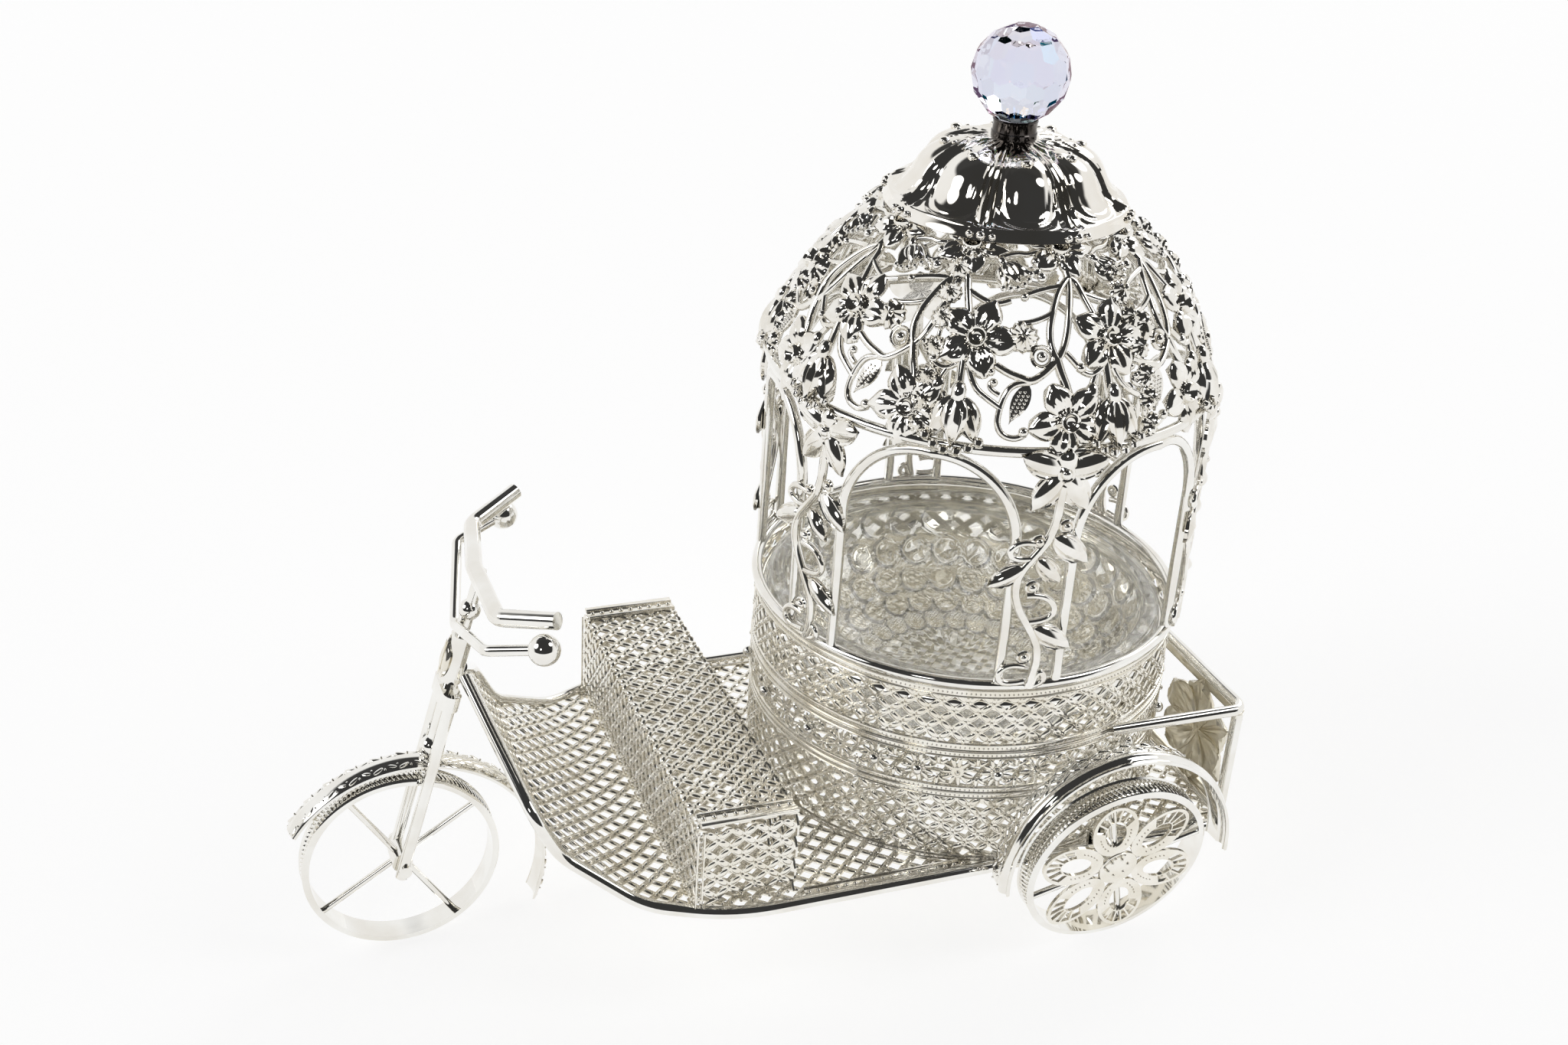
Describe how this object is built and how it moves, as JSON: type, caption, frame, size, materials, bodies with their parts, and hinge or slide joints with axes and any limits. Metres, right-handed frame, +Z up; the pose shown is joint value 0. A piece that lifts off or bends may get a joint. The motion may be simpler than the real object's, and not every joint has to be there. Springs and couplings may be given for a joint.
{
  "type": "tricycle sweet dish",
  "caption": "Table sweet dish shaped as a silver plated filigree tricycle: glass bowl in a pierced drum under an open cage with a floral dome and a crystal knob.",
  "frame": {"origin": "on the floor under the middle of the whole object", "axes": "+X to the rear, so the rider looks along -X; +Y to the rider's right; +Z up"},
  "size_m": [0.4158, 0.2438, 0.3811],
  "materials": {
    "silver_wire": "bright silver plate on drawn wire and castings",
    "silver_filigree": "bright silver plate on pierced sheet",
    "pressed_glass": "pressed hobnail glass",
    "crystal": "cut and polished crystal",
    "dark_nickel": "polished dark nickel plate",
    "steel": "plain steel"
  },
  "bodies": {
    "chassis": {"platform_sheet": "silver_filigree", "border_wire_left": "silver_wire", "border_wire_right": "silver_wire", "platform_edge_strips": "silver_filigree", "scoop_sheet": "silver_filigree", "seat_cover": "silver_filigree", "seat_end_left": "silver_filigree", "seat_end_right": "silver_filigree", "seat_edge_strips": "silver_filigree", "drum_lower_band": "silver_filigree", "drum_flower_band": "silver_filigree", "drum_upper_band": "silver_filigree", "drum_beads": "silver_wire", "bowl_ledge": "silver_wire", "rear_rail": "silver_wire", "rail_posts": "silver_wire", "rear_flower_panel": "silver_filigree", "rear_fender_left": "silver_wire", "rear_fender_right": "silver_wire", "rear_axle_left": "silver_wire", "rear_axle_right": "silver_wire", "head_sleeve": "silver_wire", "head_leaf": "silver_wire"},
    "steering": {"steerer_stem": "silver_wire", "head_ball": "silver_wire", "fork_crown": "silver_wire", "fork_leg_left": "silver_wire", "fork_leg_right": "silver_wire", "front_axle": "silver_wire", "handlebar": "silver_wire", "lever_bar": "silver_wire", "lever_balls": "silver_wire", "fender_ball": "silver_wire", "front_fender": "silver_wire"},
    "front_wheel": {"front_rim": "silver_wire", "front_spokes": "silver_wire", "front_hub": "silver_wire"},
    "rear_wheel_left": {"rear_rim_left": "silver_wire", "rear_spokes_left": "silver_wire", "rear_hub_left": "silver_wire", "rosette_left": "silver_filigree"},
    "rear_wheel_right": {"rear_rim_right": "silver_wire", "rear_spokes_right": "silver_wire", "rear_hub_right": "silver_wire", "rosette_right": "silver_filigree"},
    "bowl": {"glass_bowl": "pressed_glass"},
    "cage": {"cage_ring": "silver_wire", "cage_arches": "silver_wire", "cage_vines": "silver_wire", "dome_ring": "silver_wire", "dome_shell": "silver_filigree", "cap": "silver_wire", "collar": "dark_nickel", "crystal_knob": "crystal", "knob_stud": "steel", "knob_nut": "steel"}
  },
  "joints": [
    {"name": "steering_turn", "type": "hinge", "parent": "chassis", "child": "steering", "pos_m": [-0.16196, 0, 0.0429], "axis": [0.3239, 0, 0.9461], "range_deg": [-30, 30]},
    {"name": "front_wheel_roll", "type": "hinge", "parent": "steering", "child": "front_wheel", "pos_m": [-0.16196, 0, 0.0429], "axis": [0, 1, 0], "continuous": true},
    {"name": "rear_wheel_left_roll", "type": "hinge", "parent": "chassis", "child": "rear_wheel_left", "pos_m": [0.12854, -0.1097, 0.04323], "axis": [0, -0.988, -0.1547], "continuous": true},
    {"name": "rear_wheel_right_roll", "type": "hinge", "parent": "chassis", "child": "rear_wheel_right", "pos_m": [0.12854, 0.1097, 0.04323], "axis": [0, 0.988, -0.1547], "continuous": true},
    {"name": "bowl_lift", "type": "slide", "parent": "chassis", "child": "bowl", "axis": [0.061, 0, 0.9981], "range_m": [0, 0.06]},
    {"name": "cage_lift", "type": "slide", "parent": "chassis", "child": "cage", "axis": [0.061, 0, 0.9981], "range_m": [0, 0.15]}
  ]
}
